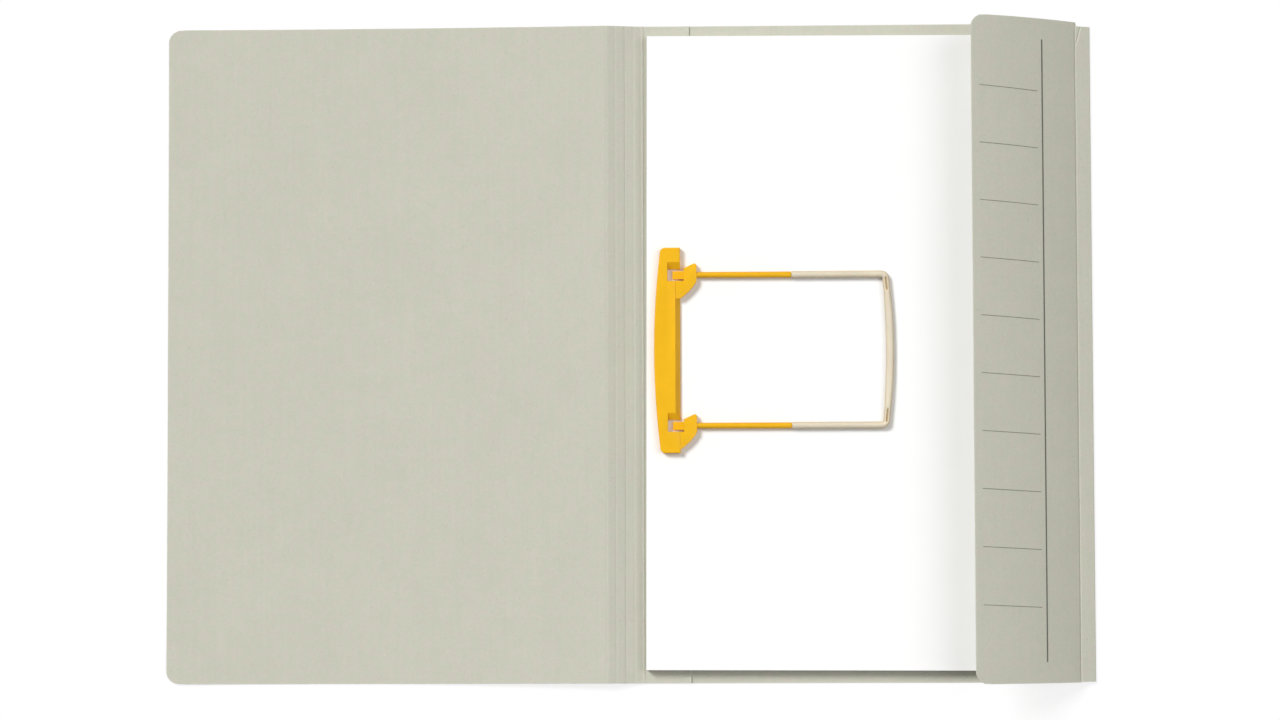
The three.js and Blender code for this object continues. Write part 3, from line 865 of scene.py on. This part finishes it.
# A point is the centre line's place, plus the half width times the angle's cosine sideways, plus the half
# height times its sine upwards. The rows run from the end of one bore out to its mouth, over the outside of
# the whole tube, and into the other bore.
def buildClipBow(material):
    spec = bowSpec
    line = bowCentreLine(spec)
    length = np.concatenate([[0], np.cumsum(np.linalg.norm(np.diff(line, axis=0), axis=1))])
    total = length[-1]
    tangent = unit(np.gradient(line, axis=0))
    depth = spec["boreDepth"]
    soft = np.array([0.35, 0.15, 0.04, 0.0]) * mm
    inward = np.concatenate([np.linspace(depth, 0.5 * mm, spec["steps"]["bore"]), soft[1:3]])
    outward = length[(length > 0.4 * mm) & (length < total - 0.4 * mm)]
    outward = np.concatenate([soft[::-1], outward, total - soft])
    place = np.concatenate([inward, outward, total - inward[::-1]])
    bore = np.concatenate([np.full(len(inward), 1.0), np.zeros(len(outward)), np.full(len(inward), 1.0)])
    centre = np.stack([np.interp(place, length, line[:, k]) for k in range(3)], axis=1)
    along = unit(np.stack([np.interp(place, length, tangent[:, k]) for k in range(3)], axis=1))
    sideways = np.stack([-along[:, 1], along[:, 0], np.zeros(len(place))], axis=1)
    fromMiddle = np.abs(place - total / 2)
    barHalf = (bowHigh[1] - bowLow[1]) / 2 - spec["cornerSize"]
    blade = np.clip((barHalf - spec["grooveLength"] - fromMiddle) / spec["bladeRun"], 0, 1)
    blade = blade * blade * (3 - 2 * blade)
    halfWidth = spec["radius"] + (spec["bladeHalfWidth"] - spec["radius"]) * blade
    halfHeight = spec["radius"] + (spec["bladeHalfHeight"] - spec["radius"]) * blade
    edge = np.minimum(place, total - place)
    lip = np.clip(1 - edge / spec["lipReach"], 0, 1) ** 2 * spec["lipDepth"]
    halfWidth = np.where(bore > 0, spec["boreRadius"] + lip, halfWidth - lip)
    halfHeight = np.where(bore > 0, spec["boreRadius"] + lip, halfHeight - lip)
    angle = np.linspace(0, 2 * math.pi, spec["sides"], endpoint=False)
    across = halfWidth[:, None] * np.cos(angle)[None, :]
    up = halfHeight[:, None] * np.sin(angle)[None, :]
    inGroove = np.clip((fromMiddle - (barHalf - spec["grooveLength"])) / mm, 0, 1)
    inGroove = inGroove * np.clip((barHalf - fromMiddle) / mm, 0, 1)
    notch = np.exp(-(across / spec["grooveHalfWidth"]) ** 4) * (np.sin(angle) > 0)[None, :]
    up = up - spec["grooveDepth"] * inGroove[:, None] * notch
    points = centre[:, None, :] + across[..., None] * sideways[:, None, :]
    points[..., 2] += up
    rows, sides = points.shape[:2]
    flat = points.reshape(-1, 3)
    faces = gridFaces(rows, sides, closed=True)
    faces.append(list(range(sides)))
    faces.append(list(range((rows - 1) * sides, rows * sides))[::-1])
    # The groove mask also sets where painted shade darkens the bow's grooves.
    piece = finishPiece("clip_bow_tube", flat, faces, material,
                        {"groove": (0.9 * inGroove[:, None] * notch).ravel()}, 50.0)
    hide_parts("clip_bow")
    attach(piece, "clip_bow")
    print("clip bow done")


# Surroundings, light and camera

studio = {
    "floorReach": 6.0,
    "floorDrop": 0.25 * mm,
    "floorColour": (0.97, 0.97, 0.97, 1),
    "floorGlow": 0.8,
    "worldStrength": 0.213,
    "keyTo": (-0.503, 0.444, 0.740),
    "keyStrength": 2.52,
    "keyAngle": 22.0,                           # degrees
    "fillTo": (0.550, 0.05, 0.834),
    "fillStrength": 0.98,
    "fillAngle": 44.0,
}

cameraSpec = {
    "place": (0.0725, -0.1244, 2.0),
    "turn": (3.451, 1.905, -0.180),             # degrees
    "focalInPixels": 3765.0,
    "photoWidth": 1280,
    "sensor": 36.0,
}


def buildStage():
    spec = studio
    mesh = bpy.data.meshes.new("floor")
    reach = spec["floorReach"]
    low = backLow[2] - spec["floorDrop"]
    square = [(-reach, -reach, low), (reach, -reach, low), (reach, reach, low), (-reach, reach, low)]
    mesh.from_pydata(square, [], [(0, 1, 2, 3)])
    floor = bpy.data.objects.new("floor", mesh)
    bpy.context.scene.collection.objects.link(floor)
    material = bpy.data.materials.new("paleFloor")
    material.use_nodes = True
    tree = material.node_tree
    tree.nodes.clear()
    plain = addNode(tree, "ShaderNodeBsdfDiffuse", {"Color": spec["floorColour"]})
    white = addNode(tree, "ShaderNodeEmission", {"Color": (1, 1, 1, 1), "Strength": 1.0})
    seen = math2(tree, "MULTIPLY", seenDirectly(tree), spec["floorGlow"])
    mix = addNode(tree, "ShaderNodeMixShader")
    output = addNode(tree, "ShaderNodeOutputMaterial")
    tree.links.new(seen, mix.inputs[0])
    tree.links.new(plain.outputs[0], mix.inputs[1])
    tree.links.new(white.outputs[0], mix.inputs[2])
    tree.links.new(mix.outputs[0], output.inputs[0])
    mesh.materials.append(material)


# One for rays from the camera, a mirror or clear plastic, and zero for light
def seenDirectly(tree):
    rays = addNode(tree, "ShaderNodeLightPath").outputs
    total = math2(tree, "ADD", rays["Is Camera Ray"], rays["Is Glossy Ray"])
    return math2(tree, "ADD", total, rays["Is Transmission Ray"], clamp=True)


def buildWorld():
    world = bpy.data.worlds.new("paleRoom")
    bpy.context.scene.world = world
    world.use_nodes = True
    tree = world.node_tree
    tree.nodes.clear()
    background = addNode(tree, "ShaderNodeBackground", {"Color": (1, 1, 1, 1)})
    output = addNode(tree, "ShaderNodeOutputWorld")
    strength = mapRange(tree, seenDirectly(tree), 0.0, 1.0, studio["worldStrength"], 1.0)
    tree.links.new(strength, background.inputs["Strength"])
    tree.links.new(background.outputs[0], output.inputs[0])


def addSun(name, towards, strength, angle):
    light = bpy.data.lights.new(name, "SUN")
    light.energy = strength
    light.angle = math.radians(angle)
    lamp = bpy.data.objects.new(name, light)
    lamp.rotation_euler = Vector(towards).to_track_quat("Z", "Y").to_euler()
    bpy.context.scene.collection.objects.link(lamp)


def buildCamera():
    spec = cameraSpec
    camera = bpy.data.cameras.new("camera")
    camera.sensor_fit = "HORIZONTAL"
    camera.sensor_width = spec["sensor"]
    camera.lens = spec["focalInPixels"] / spec["photoWidth"] * spec["sensor"]
    camera.clip_end = 20
    holder = bpy.data.objects.new("camera", camera)
    holder.location = spec["place"]
    holder.rotation_euler = [math.radians(a) for a in spec["turn"]]
    bpy.context.scene.collection.objects.link(holder)
    bpy.context.scene.camera = holder


buildCamera()
buildWorld()
buildStage()
addSun("key", studio["keyTo"], studio["keyStrength"], studio["keyAngle"])
addSun("fill", studio["fillTo"], studio["fillStrength"], studio["fillAngle"])
bpy.context.scene.view_settings.view_transform = "Standard"
print("studio done")

fibre = buildFibreGroup()
mould = buildMouldGroup()
board = boardMaterial(fibre)
buildFrontBoard(board)
creasePlace, sheetEnd = buildBackBoard(board)
buildRules(inkMaterial(fibre), creasePlace, sheetEnd)
buildPaper(paperMaterial(fibre))
buildClipBar(plasticMaterial("yellowPlastic", mould, yellowLook))
buildClipBow(plasticMaterial("creamPlastic", mould, creamLook))
